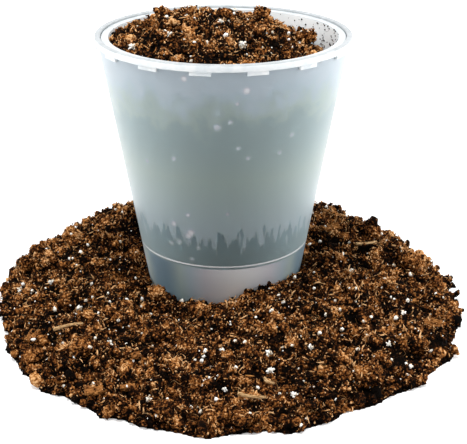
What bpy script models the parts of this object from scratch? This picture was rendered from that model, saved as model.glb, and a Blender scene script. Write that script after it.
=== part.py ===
"""Frosted double pot filled with potting compost, standing in a heap of the same compost.

Metres, +Z up. The origin is on the floor under the middle of the pot. Places round the pot are
given by an angle from the front, -Y, that grows towards +X, and by a share of the way outwards.
"""
import math
import random

import bmesh
import bpy
from mathutils import Euler, Matrix, Vector, noise

MM = 0.001

# Gap left between pieces that touch
FIT_GAP = 0.3 * MM

# Outer pot
RIM_RADIUS = 70.0 * MM
POT_HEIGHT = 150.0 * MM
FOOT_RADIUS = 43.1 * MM
LIP_OVERHANG = 1.2 * MM
LIP_WIDTH = 3.1 * MM
LIP_HEIGHT = 3.5 * MM
LIP_ROUND = 0.4 * MM
WALL = 1.1 * MM
BASE_THICKNESS = 1.4 * MM
FOOT_ROUND = 2.0 * MM
LEDGE_THICKNESS = 1.2 * MM
LEDGE_BRACE = 3.4 * MM
TAB_COUNT = 15
TAB_WIDTH = 11.2 * MM
TAB_DROP = 2.0 * MM
TAB_FIRST_ANGLE = math.radians(-9.7)

# Inner pot, hung from the ledge inside the outer lip
INNER_LIP_RECESS = 1.0 * MM
INNER_LIP_THICKNESS = 1.3 * MM
INNER_LIP_WIDTH = 3.1 * MM
INNER_FOOT_CLEARANCE = 1.05 * MM
RESERVOIR_HEIGHT = 29.8 * MM
FOOT_RING_HEIGHT = 1.2 * MM
INNER_FLOOR = 1.2 * MM
SLOT_COUNT = 8
SLOT_WIDTH = 2.2 * MM
SLOT_START = 14.0 * MM
SLOT_LENGTH = 24.0 * MM
NOTCH_COUNT = 6
NOTCH_WIDTH = 4.0 * MM
POT_SEGMENTS = 72

# Compost in the inner pot: its edge lies below the inner lip, lower on one side, and its middle is domed
FILL_EDGE_DROP = 2.0 * MM
FILL_SIDE_DROP = 14.0 * MM
FILL_SIDE_ANGLE = math.radians(95)
FILL_SIDE_CURVE = 1.7
FILL_DOME = 12.0 * MM
FILL_RINGS = 10

# Compost heap round the foot. Each list goes once round in even steps, from the front towards +X,
# as shares of the heap's longest reach or of its tallest crest
HEAP_REACH = 124.0 * MM
HEAP_SPREAD = (1.0, 0.94, 0.88, 0.78, 0.70, 0.64, 0.61, 0.60, 0.60, 0.60, 0.61, 0.64, 0.68, 0.73, 0.84, 0.94)
HEAP_TALLEST = 27.0 * MM
HEAP_CREST = (0.48, 0.56, 0.63, 0.67, 0.70, 0.74, 0.85, 0.96, 1.0, 0.96, 0.89, 0.74, 0.63, 0.52, 0.48, 0.48)
HEAP_AT_POT = (0.44, 0.67, 0.67, 0.63, 0.56, 0.67, 0.81, 0.89, 0.89, 0.89, 0.81, 0.67, 0.48, 0.37, 0.33, 0.33)
HEAP_CREST_SHARE = 0.4
HEAP_SHOULDER = 3
HEAP_FALL = 0.8
HEAP_EDGE = 3.5 * MM
HEAP_SEGMENTS = 150
HEAP_RINGS = 18
RAGGED_REACH = 7.0 * MM
RAGGED_SPACING = 14.0 * MM

# Lumps and clumps in both compost surfaces, lower in the pot, and faded out at the pot's wall and the
# heap's edge
LUMP_HEIGHT = 8.0 * MM
LUMP_SPACING = 17.0 * MM
CLUMP_HEIGHT = 4.5 * MM
CLUMP_SPACING = 8.0 * MM
FILL_LUMPS = 0.6
LUMP_FADE_AT_POT = 0.125
LUMP_FADE_AT_EDGE = 0.25

# Loose pieces bedded in the compost
GRAIN_RADIUS = 1.8 * MM
GRAIN_ROUGHNESS = 0.12
CLOD_RADIUS = 7.0 * MM
CLOD_ROUGHNESS = 0.15
CLOD_FLATNESS = 0.78
BARK_LENGTH = 9.0 * MM
BARK_WIDTH = 5.4 * MM
BARK_THICKNESS = 2.4 * MM
BARK_RAGGED = 0.5 * MM
TWIG_LENGTH = 14.0 * MM
TWIG_RADIUS = 1.1 * MM
TWIG_BEND = 1.2 * MM
TWIG_TAPER = 0.25
TWIG_SIDES = 6
TWIG_PARTS = 4
FLOOR_CLEAR = 1.5 * MM
GRAIN_RISE = 0.6 * MM
BARK_RISE = 0.6 * MM
BARK_TILT = math.radians(6)
TWIG_RISE = 0.3 * MM
POCKET_GROW = 1.25 * FIT_GAP
HEAP_SEED = 100
FILL_SEED = 500

# Each row: angle from the front in degrees, share of the way out, size factor
HEAP_GRAINS = [
    (-77, 0.87, 0.95), (-72, 0.66, 1.0), (-47, 0.60, 1.0), (-32, 0.61, 0.95), (-3, 0.58, 1.1),
    (10, 0.68, 1.2), (11, 0.58, 1.0), (0, 0.76, 1.0), (47, 0.51, 0.95), (53, 0.70, 0.95),
    (13, 0.84, 1.1), (77, 0.32, 1.0), (22, 0.63, 0.95), (39, 0.78, 0.9), (-14, 0.88, 1.05),
]
FILL_GRAINS = [(-60, 0.89, 1.2), (-6, 0.20, 1.05), (13, 0.70, 1.3), (-42, 0.68, 0.8)]

# Each row: angle, share, size factor, rise above the surface as a share of the radius
HEAP_CLODS = [
    (-91, 0.88, 1.15, 0.3), (-112, 0.72, 1.25, 0.3), (-101, 0.87, 0.9, 0.3), (-44, 0.93, 0.95, 0.2),
    (-35, 0.72, 1.2, 0.1), (-18.5, 0.98, 0.8, 0.1), (-10, 0.95, 1.0, 0.1), (-14, 0.12, 1.0, 0.2),
    (-40, 0.12, 0.9, 0.1), (113, 0.68, 1.25, 0.3), (88, 0.72, 1.4, 0.4), (29, 0.90, 1.3, 0.1),
    (46, 0.87, 1.1, 0.1), (63, 0.91, 0.9, 0.1), (3, 0.97, 0.8, 0.0),
]
FILL_CLODS = [(112, 0.38, 0.85, 0.3), (97, 0.76, 0.95, 0.35), (-120, 0.62, 0.8, 0.1)]

# Each row: angle, share, length factor, width factor, turn in degrees
HEAP_BARK = [
    (117, 0.36, 1.25, 1.2, 20), (-50, 0.88, 1.3, 1.0, 75), (-25, 0.94, 1.1, 1.15, 10),
    (-19, 0.86, 0.85, 0.75, 0), (55, 0.87, 1.1, 1.1, -30), (21, 0.77, 0.85, 0.6, 70),
    (62, 0.73, 0.9, 0.7, 15), (-22, 0.63, 0.55, 0.8, 30),
]
FILL_BARK = [(-38, 0.45, 1.0, 0.75, 60)]

# Each row: angle, share, length factor, turn in degrees
HEAP_TWIGS = [(5, 0.86, 1.0, -15), (97, 0.48, 0.95, 15), (9, 0.76, 0.5, -50), (-44, 0.69, 1.15, 25)]


# Sizes worked out from the ones above

def wall_radius(height):
    """Outside radius of the outer pot's wall at a height."""
    top = RIM_RADIUS - LIP_OVERHANG
    return FOOT_RADIUS + (top - FOOT_RADIUS) * height / POT_HEIGHT


def lip_inner_radius():
    """Inside radius of the outer pot's lip."""
    return RIM_RADIUS - LIP_WIDTH


def inner_lip_radius():
    """Outside radius of the inner pot's top ring."""
    return lip_inner_radius() - FIT_GAP


def inner_neck_radius():
    """Outside radius of the inner pot's wall under its top ring."""
    return inner_lip_radius() - INNER_LIP_WIDTH


def inner_lip_top():
    return POT_HEIGHT - INNER_LIP_RECESS


def inner_lip_under():
    return inner_lip_top() - INNER_LIP_THICKNESS


def ledge_height():
    """Top of the ledge that carries the inner pot."""
    return inner_lip_under() - FIT_GAP


def inner_foot_height():
    """Underside of the inner pot's foot ring."""
    return BASE_THICKNESS + RESERVOIR_HEIGHT


def inner_foot_radius():
    """Outside radius of the inner pot's foot ring, which stands clear of the outer pot's wall."""
    return wall_radius(inner_foot_height()) - WALL - INNER_FOOT_CLEARANCE


def inner_floor_under():
    return inner_foot_height() + FOOT_RING_HEIGHT


def inner_floor_top():
    return inner_floor_under() + INNER_FLOOR


def inner_wall_radius(height):
    """Outside radius of the inner pot's wall at a height."""
    share = (height - inner_foot_height()) / (inner_lip_under() - inner_foot_height())
    return inner_foot_radius() + (inner_neck_radius() - inner_foot_radius()) * share


def fill_radius(height):
    """Radius of the compost in the inner pot at a height."""
    return inner_wall_radius(height) - WALL - FIT_GAP


# Compost surfaces

def read_round(values, angle):
    """Reads values spaced evenly round the pot, with a smooth curve through them."""
    place = angle / math.tau * len(values)
    start = math.floor(place)
    share = place - start
    before, low, high, after = (values[(start + step) % len(values)] for step in (-1, 0, 1, 2))
    curve = 3.0 * (low - high) + after - before
    bend = 2.0 * before - 5.0 * low + 4.0 * high - after
    return low + 0.5 * share * (high - before + share * (bend + share * curve))


def outward(angle):
    """Unit vector along the floor at an angle from the front."""
    return Vector((math.sin(angle), -math.cos(angle), 0.0))


def lump(place):
    """Height of the lumps and clumps at a place on a compost surface."""
    return LUMP_HEIGHT * noise.noise(place / LUMP_SPACING) + CLUMP_HEIGHT * noise.noise(place / CLUMP_SPACING)


def heap_reach(angle):
    """Distance from the pot's axis to the heap's ragged edge."""
    reach = FOOT_RADIUS + HEAP_REACH * read_round(HEAP_SPREAD, angle)
    return reach + RAGGED_REACH * noise.noise(outward(angle) * reach / RAGGED_SPACING)


def heap_height(angle, share):
    """Height of the heap's surface, before its lumps."""
    crest = HEAP_TALLEST * read_round(HEAP_CREST, angle)
    start = HEAP_TALLEST * read_round(HEAP_AT_POT, angle)
    rise = min(share / HEAP_CREST_SHARE, 1.0)
    rise = rise * rise * (3.0 - 2.0 * rise)
    fall = (1.0 - share ** HEAP_SHOULDER) ** HEAP_FALL
    return HEAP_EDGE + (start + (crest - start) * rise - HEAP_EDGE) * fall


def heap_point(angle, share):
    """Point on the heap's surface. Share 0 is at the pot's wall and share 1 is the edge."""
    height = heap_height(angle, share)
    near = wall_radius(height) + FIT_GAP
    flat = outward(angle) * (near + (heap_reach(angle) - near) * share)
    fade = min(share / LUMP_FADE_AT_POT, (1.0 - share) / LUMP_FADE_AT_EDGE, 1.0)
    height += lump(flat) * fade
    return Vector((flat.x, flat.y, height))


def fill_point(angle, share):
    """Point on the surface of the compost in the pot. Share 1 is at the inner pot's wall."""
    side = 0.5 + 0.5 * math.cos(angle - FILL_SIDE_ANGLE)
    level = inner_lip_top() - FILL_EDGE_DROP
    side_drop = FILL_SIDE_DROP * side ** 3
    height = level - side_drop * share ** FILL_SIDE_CURVE + FILL_DOME * (1.0 - share * share)
    flat = outward(angle) * (fill_radius(level - side_drop) * share)
    height += FILL_LUMPS * lump(flat + Vector((0.0, 0.0, height))) * (1.0 - share ** 4)
    return Vector((flat.x, flat.y, height))


# Making objects

def clear_scene():
    for old in list(bpy.data.objects):
        bpy.data.objects.remove(old, do_unlink=True)


def make_material(name, colour, roughness, alpha=1.0):
    """Plain finish: a colour in linear values, and how rough it is."""
    finish = bpy.data.materials.new(name)
    finish.use_nodes = True
    shader = finish.node_tree.nodes["Principled BSDF"]
    shader.inputs["Base Color"].default_value = (*colour, 1.0)
    shader.inputs["Roughness"].default_value = roughness
    shader.inputs["Metallic"].default_value = 0.0
    shader.inputs["Alpha"].default_value = alpha
    finish.diffuse_color = (*colour, alpha)
    return finish


def make_object(name, bm, finish=None, smooth_angle=None):
    """Turns a bmesh into a named object with its place in its mesh."""
    bmesh.ops.recalc_face_normals(bm, faces=bm.faces)
    mesh = bpy.data.meshes.new(name)
    bm.to_mesh(mesh)
    bm.free()
    if smooth_angle is not None:
        mesh.shade_smooth()
        mesh.set_sharp_from_angle(angle=smooth_angle)
    made = bpy.data.objects.new(name, mesh)
    bpy.context.scene.collection.objects.link(made)
    if finish is not None:
        mesh.materials.append(finish)
    return made


def make_tool(name, bm):
    """A guide object that only shapes another one."""
    tool = make_object(name, bm)
    tool.hide_render = True
    tool.display_type = "WIRE"
    return tool


def shape_with(target, tool, operation):
    change = target.modifiers.new(tool.name, "BOOLEAN")
    change.operation = operation
    change.solver = "EXACT"
    change.object = tool


def spin_section(points, segments, closed):
    """Turns a section, given as radius and height, once round the pot's axis."""
    bm = bmesh.new()
    verts = [bm.verts.new((0.0, -radius, height)) for radius, height in points]
    edges = [bm.edges.new(pair) for pair in zip(verts, verts[1:])]
    if closed:
        edges.append(bm.edges.new((verts[-1], verts[0])))
    bmesh.ops.spin(bm, geom=verts + edges, cent=(0, 0, 0), axis=(0, 0, 1), angle=math.tau,
                   steps=segments, use_merge=True)
    bmesh.ops.remove_doubles(bm, verts=bm.verts, dist=1e-6)
    return bm


def arc(centre, radius, start, end, steps):
    """Points of an arc in a section, with its angles in degrees."""
    turns = [math.radians(start + (end - start) * step / steps) for step in range(steps + 1)]
    return [(centre[0] + radius * math.cos(turn), centre[1] + radius * math.sin(turn)) for turn in turns]


def add_block(bm, low, high, turn):
    """Adds a box that is then turned about the pot's axis."""
    size = [far - near for near, far in zip(low, high)]
    middle = [(far + near) / 2.0 for near, far in zip(low, high)]
    place = Matrix.Rotation(turn, 4, "Z") @ Matrix.Translation(middle) @ Matrix.Diagonal((*size, 1.0))
    bmesh.ops.create_cube(bm, size=1.0, matrix=place)


# The pots

def outer_pot_section():
    height = POT_HEIGHT
    band = height - LIP_HEIGHT
    brace = ledge_height() - LEDGE_THICKNESS - LEDGE_BRACE
    ledge = inner_neck_radius() + FIT_GAP
    section = [(0.0, 0.0)]
    section += arc((FOOT_RADIUS - FOOT_ROUND, FOOT_ROUND), FOOT_ROUND, -90, 0, 3)
    section += [(wall_radius(band), band), (RIM_RADIUS, band)]
    section += arc((RIM_RADIUS - LIP_ROUND, height - LIP_ROUND), LIP_ROUND, 0, 90, 2)
    section += arc((lip_inner_radius() + LIP_ROUND, height - LIP_ROUND), LIP_ROUND, 90, 180, 2)
    section += [(lip_inner_radius(), ledge_height()), (ledge, ledge_height())]
    section += [(ledge, ledge_height() - LEDGE_THICKNESS), (wall_radius(brace) - WALL, brace)]
    section += [(wall_radius(BASE_THICKNESS) - WALL, BASE_THICKNESS), (0.0, BASE_THICKNESS)]
    return section


def build_outer_pot(finish):
    """Tapered pot with a banded lip, a ledge inside it and tabs under the band."""
    bm = spin_section(outer_pot_section(), POT_SEGMENTS, closed=False)
    pot = make_object("outer_pot", bm, finish, math.radians(35))
    top = POT_HEIGHT - LIP_HEIGHT
    root = wall_radius(top) - WALL / 2.0
    tabs = bmesh.new()
    for number in range(TAB_COUNT):
        turn = TAB_FIRST_ANGLE + math.tau * number / TAB_COUNT
        low = (-TAB_WIDTH / 2.0, -RIM_RADIUS + LIP_ROUND, top - TAB_DROP)
        high = (TAB_WIDTH / 2.0, -root, top + LIP_HEIGHT / 3.0)
        add_block(tabs, low, high, turn)
    shape_with(pot, make_tool("lip_tabs", tabs), "UNION")
    return pot


def inner_pot_section():
    foot = inner_foot_height()
    under = inner_floor_under()
    floor = inner_floor_top()
    ring = inner_foot_radius() - WALL
    neck = inner_lip_under()
    top = inner_lip_top()
    section = [(0.0, under), (ring, under), (ring, foot), (inner_foot_radius(), foot)]
    section += [(inner_neck_radius(), neck), (inner_lip_radius(), neck)]
    section += arc((inner_lip_radius() - LIP_ROUND, top - LIP_ROUND), LIP_ROUND, 0, 90, 2)
    section += arc((inner_neck_radius() - WALL + LIP_ROUND, top - LIP_ROUND), LIP_ROUND, 90, 180, 2)
    section += [(inner_wall_radius(floor) - WALL, floor), (0.0, floor)]
    return section


def build_inner_pot(finish):
    """Tapered pot with slots through its floor and notches in its foot ring."""
    bm = spin_section(inner_pot_section(), POT_SEGMENTS, closed=False)
    pot = make_object("inner_pot", bm, finish, math.radians(35))
    under = inner_floor_under()
    drains = bmesh.new()
    for number in range(SLOT_COUNT):
        turn = math.tau * (number + 0.5) / SLOT_COUNT
        low = (-SLOT_WIDTH / 2.0, -SLOT_START - SLOT_LENGTH, under - INNER_FLOOR)
        high = (SLOT_WIDTH / 2.0, -SLOT_START, under + 2.0 * INNER_FLOOR)
        add_block(drains, low, high, turn)
    for number in range(NOTCH_COUNT):
        turn = math.tau * number / NOTCH_COUNT
        low = (-NOTCH_WIDTH / 2.0, -inner_foot_radius() - WALL, under - 2.0 * FOOT_RING_HEIGHT)
        high = (NOTCH_WIDTH / 2.0, -inner_foot_radius() + 2.0 * WALL, under - FOOT_RING_HEIGHT / 4.0)
        add_block(drains, low, high, turn)
    shape_with(pot, make_tool("drain_cuts", drains), "DIFFERENCE")
    return pot


# Loose pieces: each function makes one at the origin, grown all round by an amount for its pocket

def rough_ball(radius, roughness, flatness, seed, grow):
    """Irregular lump from an icosphere."""
    draw = random.Random(seed)
    bm = bmesh.new()
    bmesh.ops.create_icosphere(bm, subdivisions=1, radius=1.0)
    for vert in bm.verts:
        reach = radius * (1.0 + roughness * draw.uniform(-1.0, 1.0))
        vert.co = vert.co.normalized() * reach
        vert.co.z *= flatness
        vert.co += vert.co.normalized() * grow
    return bm


def bark_piece(length, width, thickness, seed, grow):
    """Flat angular chip with a ragged outline and broken edges."""
    draw = random.Random(seed)
    bm = bmesh.new()
    size = Matrix.Diagonal((length, width, thickness, 1.0))
    bmesh.ops.create_cube(bm, size=1.0, matrix=size)
    along = [edge for edge in bm.edges if abs(edge.verts[0].co.x - edge.verts[1].co.x) > length / 2.0]
    bmesh.ops.subdivide_edges(bm, edges=along, cuts=1, use_grid_fill=True)
    for vert in bm.verts:
        side = Vector([math.copysign(1.0, value) if abs(value) > 1e-7 else 0.0 for value in vert.co])
        vert.co += Vector([draw.uniform(-1.0, 1.0) * BARK_RAGGED for _ in range(3)])
        vert.co += side * grow
    bmesh.ops.triangulate(bm, faces=bm.faces)
    return bm


def twig_piece(length, radius, seed, grow):
    """Bent stick, thinner towards one end."""
    draw = random.Random(seed)
    bend = TWIG_BEND * draw.choice((-1.0, 1.0))
    half = length / 2.0 + grow
    lying = Matrix.Rotation(math.pi / 2.0, 4, "Y")
    bm = bmesh.new()
    bmesh.ops.create_cone(bm, cap_ends=True, segments=TWIG_SIDES, radius1=radius + grow,
                          radius2=radius + grow, depth=2.0 * half, matrix=lying)
    along = [edge for edge in bm.edges if edge.calc_length() > half]
    bmesh.ops.subdivide_edges(bm, edges=along, cuts=TWIG_PARTS - 1, use_grid_fill=True)
    for vert in bm.verts:
        share = vert.co.x / half
        thinning = TWIG_TAPER * (share + 1.0) / 2.0
        vert.co.y = vert.co.y * (1.0 - thinning) + bend * (1.0 - share * share)
        vert.co.z = vert.co.z * (1.0 - thinning)
    return bm


def rest_on(surface, angle, share, rise, half_height):
    """Where a piece's middle lies, so that it is bedded in a surface and clear of the floor."""
    place = surface(math.radians(angle), share)
    place.z = max(place.z + rise, half_height + FLOOR_CLEAR)
    return place


class LoosePieces:
    """Beds loose pieces in one compost body, and gathers the pockets that they lie in."""

    def __init__(self, surface, seed):
        self.surface = surface
        self.seed = seed
        self.pockets = bmesh.new()

    def bed(self, name, finish, shape, sizes, place, turn, tilt=0.0):
        """Makes one piece and adds its pocket."""
        self.seed += 1
        pose = Matrix.Translation(place) @ Euler((tilt, -tilt, turn)).to_matrix().to_4x4()
        piece = shape(*sizes, self.seed, 0.0)
        bmesh.ops.transform(piece, matrix=pose, verts=piece.verts)
        pocket = shape(*sizes, self.seed, POCKET_GROW)
        bmesh.ops.transform(pocket, matrix=pose, verts=pocket.verts)
        bmesh.ops.recalc_face_normals(pocket, faces=pocket.faces)
        mould = bpy.data.meshes.new("pocket")
        pocket.to_mesh(mould)
        pocket.free()
        self.pockets.from_mesh(mould)
        bpy.data.meshes.remove(mould)
        make_object(name, piece, finish)

    def grains(self, rows, finish, first):
        for number, (angle, share, size) in enumerate(rows, first):
            radius = GRAIN_RADIUS * size
            place = rest_on(self.surface, angle, share, GRAIN_RISE, radius)
            sizes = (radius, GRAIN_ROUGHNESS, 1.0)
            self.bed(f"perlite_grain_{number:02d}", finish, rough_ball, sizes, place, 0.0)

    def clods(self, rows, finish, first):
        for number, (angle, share, size, rise) in enumerate(rows, first):
            radius = CLOD_RADIUS * size
            tall = radius * CLOD_FLATNESS * (1.0 + CLOD_ROUGHNESS)
            place = rest_on(self.surface, angle, share, rise * radius, tall)
            sizes = (radius, CLOD_ROUGHNESS, CLOD_FLATNESS)
            self.bed(f"peat_clod_{number:02d}", finish, rough_ball, sizes, place, 0.0)

    def bark(self, rows, finish, first):
        for number, (angle, share, long, wide, turn) in enumerate(rows, first):
            sizes = (BARK_LENGTH * long, BARK_WIDTH * wide, BARK_THICKNESS)
            place = rest_on(self.surface, angle, share, BARK_RISE, BARK_THICKNESS)
            self.bed(f"bark_chip_{number:02d}", finish, bark_piece, sizes, place,
                     math.radians(turn), BARK_TILT)

    def twigs(self, rows, finish, first):
        for number, (angle, share, long, turn) in enumerate(rows, first):
            sizes = (TWIG_LENGTH * long, TWIG_RADIUS)
            place = rest_on(self.surface, angle, share, TWIG_RISE, 2.0 * TWIG_RADIUS)
            self.bed(f"twig_{number:02d}", finish, twig_piece, sizes, place, math.radians(turn))

    def cut_into(self, body, name):
        shape_with(body, make_tool(name, self.pockets), "DIFFERENCE")


# The compost

def build_fill(finish):
    """Compost in the inner pot: a turned blank, then each point moved to its own height."""
    shares = [ring / FILL_RINGS for ring in range(FILL_RINGS + 1)]
    blank = [(share, 1.0) for share in shares] + [(1.0, 0.0), (0.0, 0.0)]
    bm = spin_section(blank, POT_SEGMENTS, closed=False)
    floor = inner_floor_top() + FIT_GAP
    for vert in bm.verts:
        share = min(math.hypot(vert.co.x, vert.co.y), 1.0)
        angle = math.atan2(vert.co.x, -vert.co.y)
        if vert.co.z > 0.5:
            vert.co = fill_point(angle, share)
        else:
            vert.co = outward(angle) * fill_radius(floor) * share + Vector((0.0, 0.0, floor))
    bmesh.ops.triangulate(bm, faces=bm.faces)
    return make_object("compost_fill", bm, finish)


def build_heap(finish):
    """Compost heap round the pot's foot: a turned blank, then each point moved to its own place."""
    shares = [ring / HEAP_RINGS for ring in range(HEAP_RINGS + 1)]
    blank = [(1.0 + share, 1.0) for share in shares] + [(2.0, 0.0), (1.0, 0.0)]
    bm = spin_section(blank, HEAP_SEGMENTS, closed=True)
    for vert in bm.verts:
        share = min(max(math.hypot(vert.co.x, vert.co.y) - 1.0, 0.0), 1.0)
        angle = math.atan2(vert.co.x, -vert.co.y)
        if vert.co.z > 0.5:
            vert.co = heap_point(angle, share)
        elif share < 0.5:
            vert.co = outward(angle) * (wall_radius(0.0) + FIT_GAP)
        else:
            vert.co = outward(angle) * heap_reach(angle)
    bmesh.ops.triangulate(bm, faces=bm.faces)
    return make_object("compost_heap", bm, finish)


def build():
    clear_scene()
    frosted = make_material("frosted_polypropylene", (0.62, 0.68, 0.70), 0.35, alpha=0.55)
    compost = make_material("moist_compost", (0.045, 0.022, 0.010), 0.9)
    peat = make_material("matted_peat", (0.075, 0.034, 0.014), 0.9)
    perlite = make_material("expanded_perlite", (0.80, 0.78, 0.70), 0.7)
    bark = make_material("pine_bark", (0.33, 0.14, 0.05), 0.75)
    twig = make_material("dry_twig", (0.30, 0.19, 0.10), 0.7)

    build_outer_pot(frosted)
    build_inner_pot(frosted)

    fill = build_fill(compost)
    in_fill = LoosePieces(fill_point, FILL_SEED)
    in_fill.grains(FILL_GRAINS, perlite, len(HEAP_GRAINS) + 1)
    in_fill.clods(FILL_CLODS, peat, len(HEAP_CLODS) + 1)
    in_fill.bark(FILL_BARK, bark, len(HEAP_BARK) + 1)
    in_fill.cut_into(fill, "fill_pockets")

    heap = build_heap(compost)
    in_heap = LoosePieces(heap_point, HEAP_SEED)
    in_heap.grains(HEAP_GRAINS, perlite, 1)
    in_heap.clods(HEAP_CLODS, peat, 1)
    in_heap.bark(HEAP_BARK, bark, 1)
    in_heap.twigs(HEAP_TWIGS, twig, 1)
    in_heap.cut_into(heap, "heap_pockets")


build()
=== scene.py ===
"""Looks of a frosted double pot filled with potting compost, standing in a heap of the same compost.

Metres, +Z up. The origin is on the floor under the middle of the pot. Angles round the pot are
measured from the front, -Y, and grow towards +X.
"""
import math
import random

import bmesh
import bpy
import numpy as np
from mathutils import Euler, Matrix, Vector, noise


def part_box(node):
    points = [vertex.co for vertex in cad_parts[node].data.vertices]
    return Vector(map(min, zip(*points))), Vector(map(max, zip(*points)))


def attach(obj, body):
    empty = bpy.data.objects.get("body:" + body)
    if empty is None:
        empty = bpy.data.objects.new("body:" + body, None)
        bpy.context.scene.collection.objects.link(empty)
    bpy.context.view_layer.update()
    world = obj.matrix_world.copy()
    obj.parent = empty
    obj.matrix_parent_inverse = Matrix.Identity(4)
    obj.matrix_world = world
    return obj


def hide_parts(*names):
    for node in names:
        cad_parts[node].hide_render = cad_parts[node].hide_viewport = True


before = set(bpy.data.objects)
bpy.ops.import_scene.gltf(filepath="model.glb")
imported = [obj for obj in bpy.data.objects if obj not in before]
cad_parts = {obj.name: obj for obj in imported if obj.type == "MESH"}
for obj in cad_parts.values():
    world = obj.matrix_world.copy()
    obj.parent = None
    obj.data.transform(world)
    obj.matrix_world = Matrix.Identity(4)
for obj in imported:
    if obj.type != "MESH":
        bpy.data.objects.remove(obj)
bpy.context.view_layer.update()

MM = 0.001

# Camera, where the photograph was taken from
CAMERA_PLACE = Vector((0.0, -637.3, 303.2)) * MM
CAMERA_DOWN = math.radians(22.58)
PHOTO_WIDTH = 467
LENS_IN_PIXELS = 1189.6
AIM_ASIDE = 10.2
SENSOR_WIDTH = 36.0

# Outer pot: its rim and height come from its solid's box
OUTER_LOW, OUTER_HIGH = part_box("outer_pot")
RIM_RADIUS = OUTER_HIGH.x
POT_HEIGHT = OUTER_HIGH.z
FOOT_RADIUS = 43.1 * MM
FOOT_ROUND = 2.0 * MM
LIP_OVERHANG = 1.2 * MM
LIP_WIDTH = 3.1 * MM
LIP_HEIGHT = 3.5 * MM
LIP_ROUND = 0.55 * MM
WALL = 1.1 * MM
BASE_THICKNESS = 1.4 * MM
LEDGE_THICKNESS = 1.2 * MM
LEDGE_BRACE = 3.4 * MM
TAB_COUNT = 15
TAB_WIDTH = 11.2 * MM
TAB_DROP = 2.0 * MM
TAB_ROUND = 0.4 * MM
TAB_FIRST_ANGLE = math.radians(-9.7)

# Inner pot
INNER_LOW, INNER_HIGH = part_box("inner_pot")
INNER_LIP_RADIUS = INNER_HIGH.x
INNER_LIP_TOP = INNER_HIGH.z
INNER_FOOT_HEIGHT = INNER_LOW.z
INNER_FOOT_RADIUS = 46.3 * MM
INNER_LIP_WIDTH = 3.1 * MM
INNER_LIP_THICKNESS = 1.3 * MM
FOOT_RING_HEIGHT = 1.2 * MM
FOOT_RING_ROUND = 0.5 * MM
INNER_FLOOR = 1.2 * MM
SLOT_COUNT = 8
SLOT_WIDTH = 2.2 * MM
SLOT_START = 14.0 * MM
SLOT_LENGTH = 24.0 * MM
NOTCH_COUNT = 6
NOTCH_WIDTH = 4.0 * MM
POT_SEGMENTS = 240
SHARP_ANGLE = math.radians(35)
SAME_POINT = 0.001 * MM
CLEAR = 0.3 * MM

# Polypropylene, and how milky the walls are: how much is let through at most and at least, and how much
# more milk a slanting look goes through
PLASTIC_ROUGHNESS = 0.3
PLASTIC_IOR = 1.49
CLEAREST = 0.97
MILKIEST = 0.1
SLANT_MILK = 0.55

# What shows through the outer wall or is painted on it, by height: a painted reflection of the heap up to a
# streaked edge, the compost's top, a painted highlight at the ring of the inner foot, and a painted shadow
# line and painted patches of light under it
# Painted reflection of the heap: a clearer, darker band on the outer wall up to a streaked edge
HEAP_REFLECTION_TOP = 49.0 * MM
HEAP_REFLECTION_REACH = 22.0 * MM
# Painted light: the outer wall milkier and paler low down, against the heap's shade
PAINTED_LIGHT_FROM = 30.0 * MM
PAINTED_LIGHT_RISE = 80.0 * MM
TOP_CLOUDS = (112.0 * MM, 140.0 * MM)
STREAK_SCALE = (1.0 / (2.6 * MM), 1.0 / (2.6 * MM), 1.0 / (30.0 * MM))
STREAK_FADE = 1.2 * MM
# Painted highlight: a white band RING_GLINT high on the outer wall, RING_RISE above the inner pot's foot
RING_RISE = 0.6 * MM
RING_GLINT = 0.9 * MM
# Painted shadow line: a band under the painted highlight, kept clear of the painted patches of light below
# it
SHADOW_LINE_GAP = 1.6 * MM
# Painted light: pale patches round the wall under the ring, over a ground made clearer and darker
LIGHT_PATCH_COUNT = 3
LIGHT_PATCH_ANGLE = math.radians(10)
LIGHT_PATCH_FADE = 1.0 * MM
LINE_FADE = 0.3 * MM

# Compost: its faces, and layers of crumbs by height and size. A crumb is at full height from
# CRUMB_EDGE of its size inwards, and crevices lie CREVICE_DEPTH below the surface
HEAP_VOXEL = 1.3 * MM
FILL_VOXEL = 1.2 * MM
CLOD_SPACING = 8.0 * MM
SURFACE_LAYERS = [(1.8 * MM, CLOD_SPACING), (1.1 * MM, 3.4 * MM)]
CRUMB_EDGE = 0.5
CREVICE_DEPTH = 1.3

# Where bits can lie: faces by their upward slope and height, clear of the pot's wall
HEAP_SLOPE = -0.2
HEAP_LOW = 1.0 * MM
HEAP_WALL_GAP = 1.2 * MM
EDGE_BAND = (0.5 * MM, 4.5 * MM)
FILL_SLOPE = 0.15
FILL_DEPTH = 12.0 * MM

# How bits lie: shares of their size kept off walls and floor, fewer in clefts, more small ones than
# large, leaning when they lie flat, and with their tone mixed from patches and chance, darkened by painted
# shade in clefts
HEAP_WALL_SHARE = 0.8
FILL_WALL_SHARE = 0.9
FLOOR_SHARE = 0.9
CLEFT = -0.6
CLEFT_SKIPPED = 0.5
SMALL_BIAS = 1.6
LEAN = math.radians(38)
TONE_PATCH = 11.0 * MM
PATCH_WEIGHT = 0.4
CHANCE_WEIGHT = 0.6
CLEFT_SHADE_WEIGHT = 0.15
STAMP_BATCH = 250

# Shapes of bits of unit size: how knobbly and warped nuggets are, how shreds bend, taper and are torn,
# and how root hairs curl
NUGGET_KNOBS = (0.22, 0.7)
NUGGET_WARP = 0.3
SHRED_BEND = 0.35
SHRED_TAPER = 0.6
SHRED_RISE = 0.6
SHRED_TEAR = 0.25
SHRED_WARP = 0.5
SHRED_SHIFT = 0.08
HAIR_ARCH = (0.2, 0.6)
HAIR_WAVE = (0.1, 0.35)
HAIR_WAVE_RATE = 2.6

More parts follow.
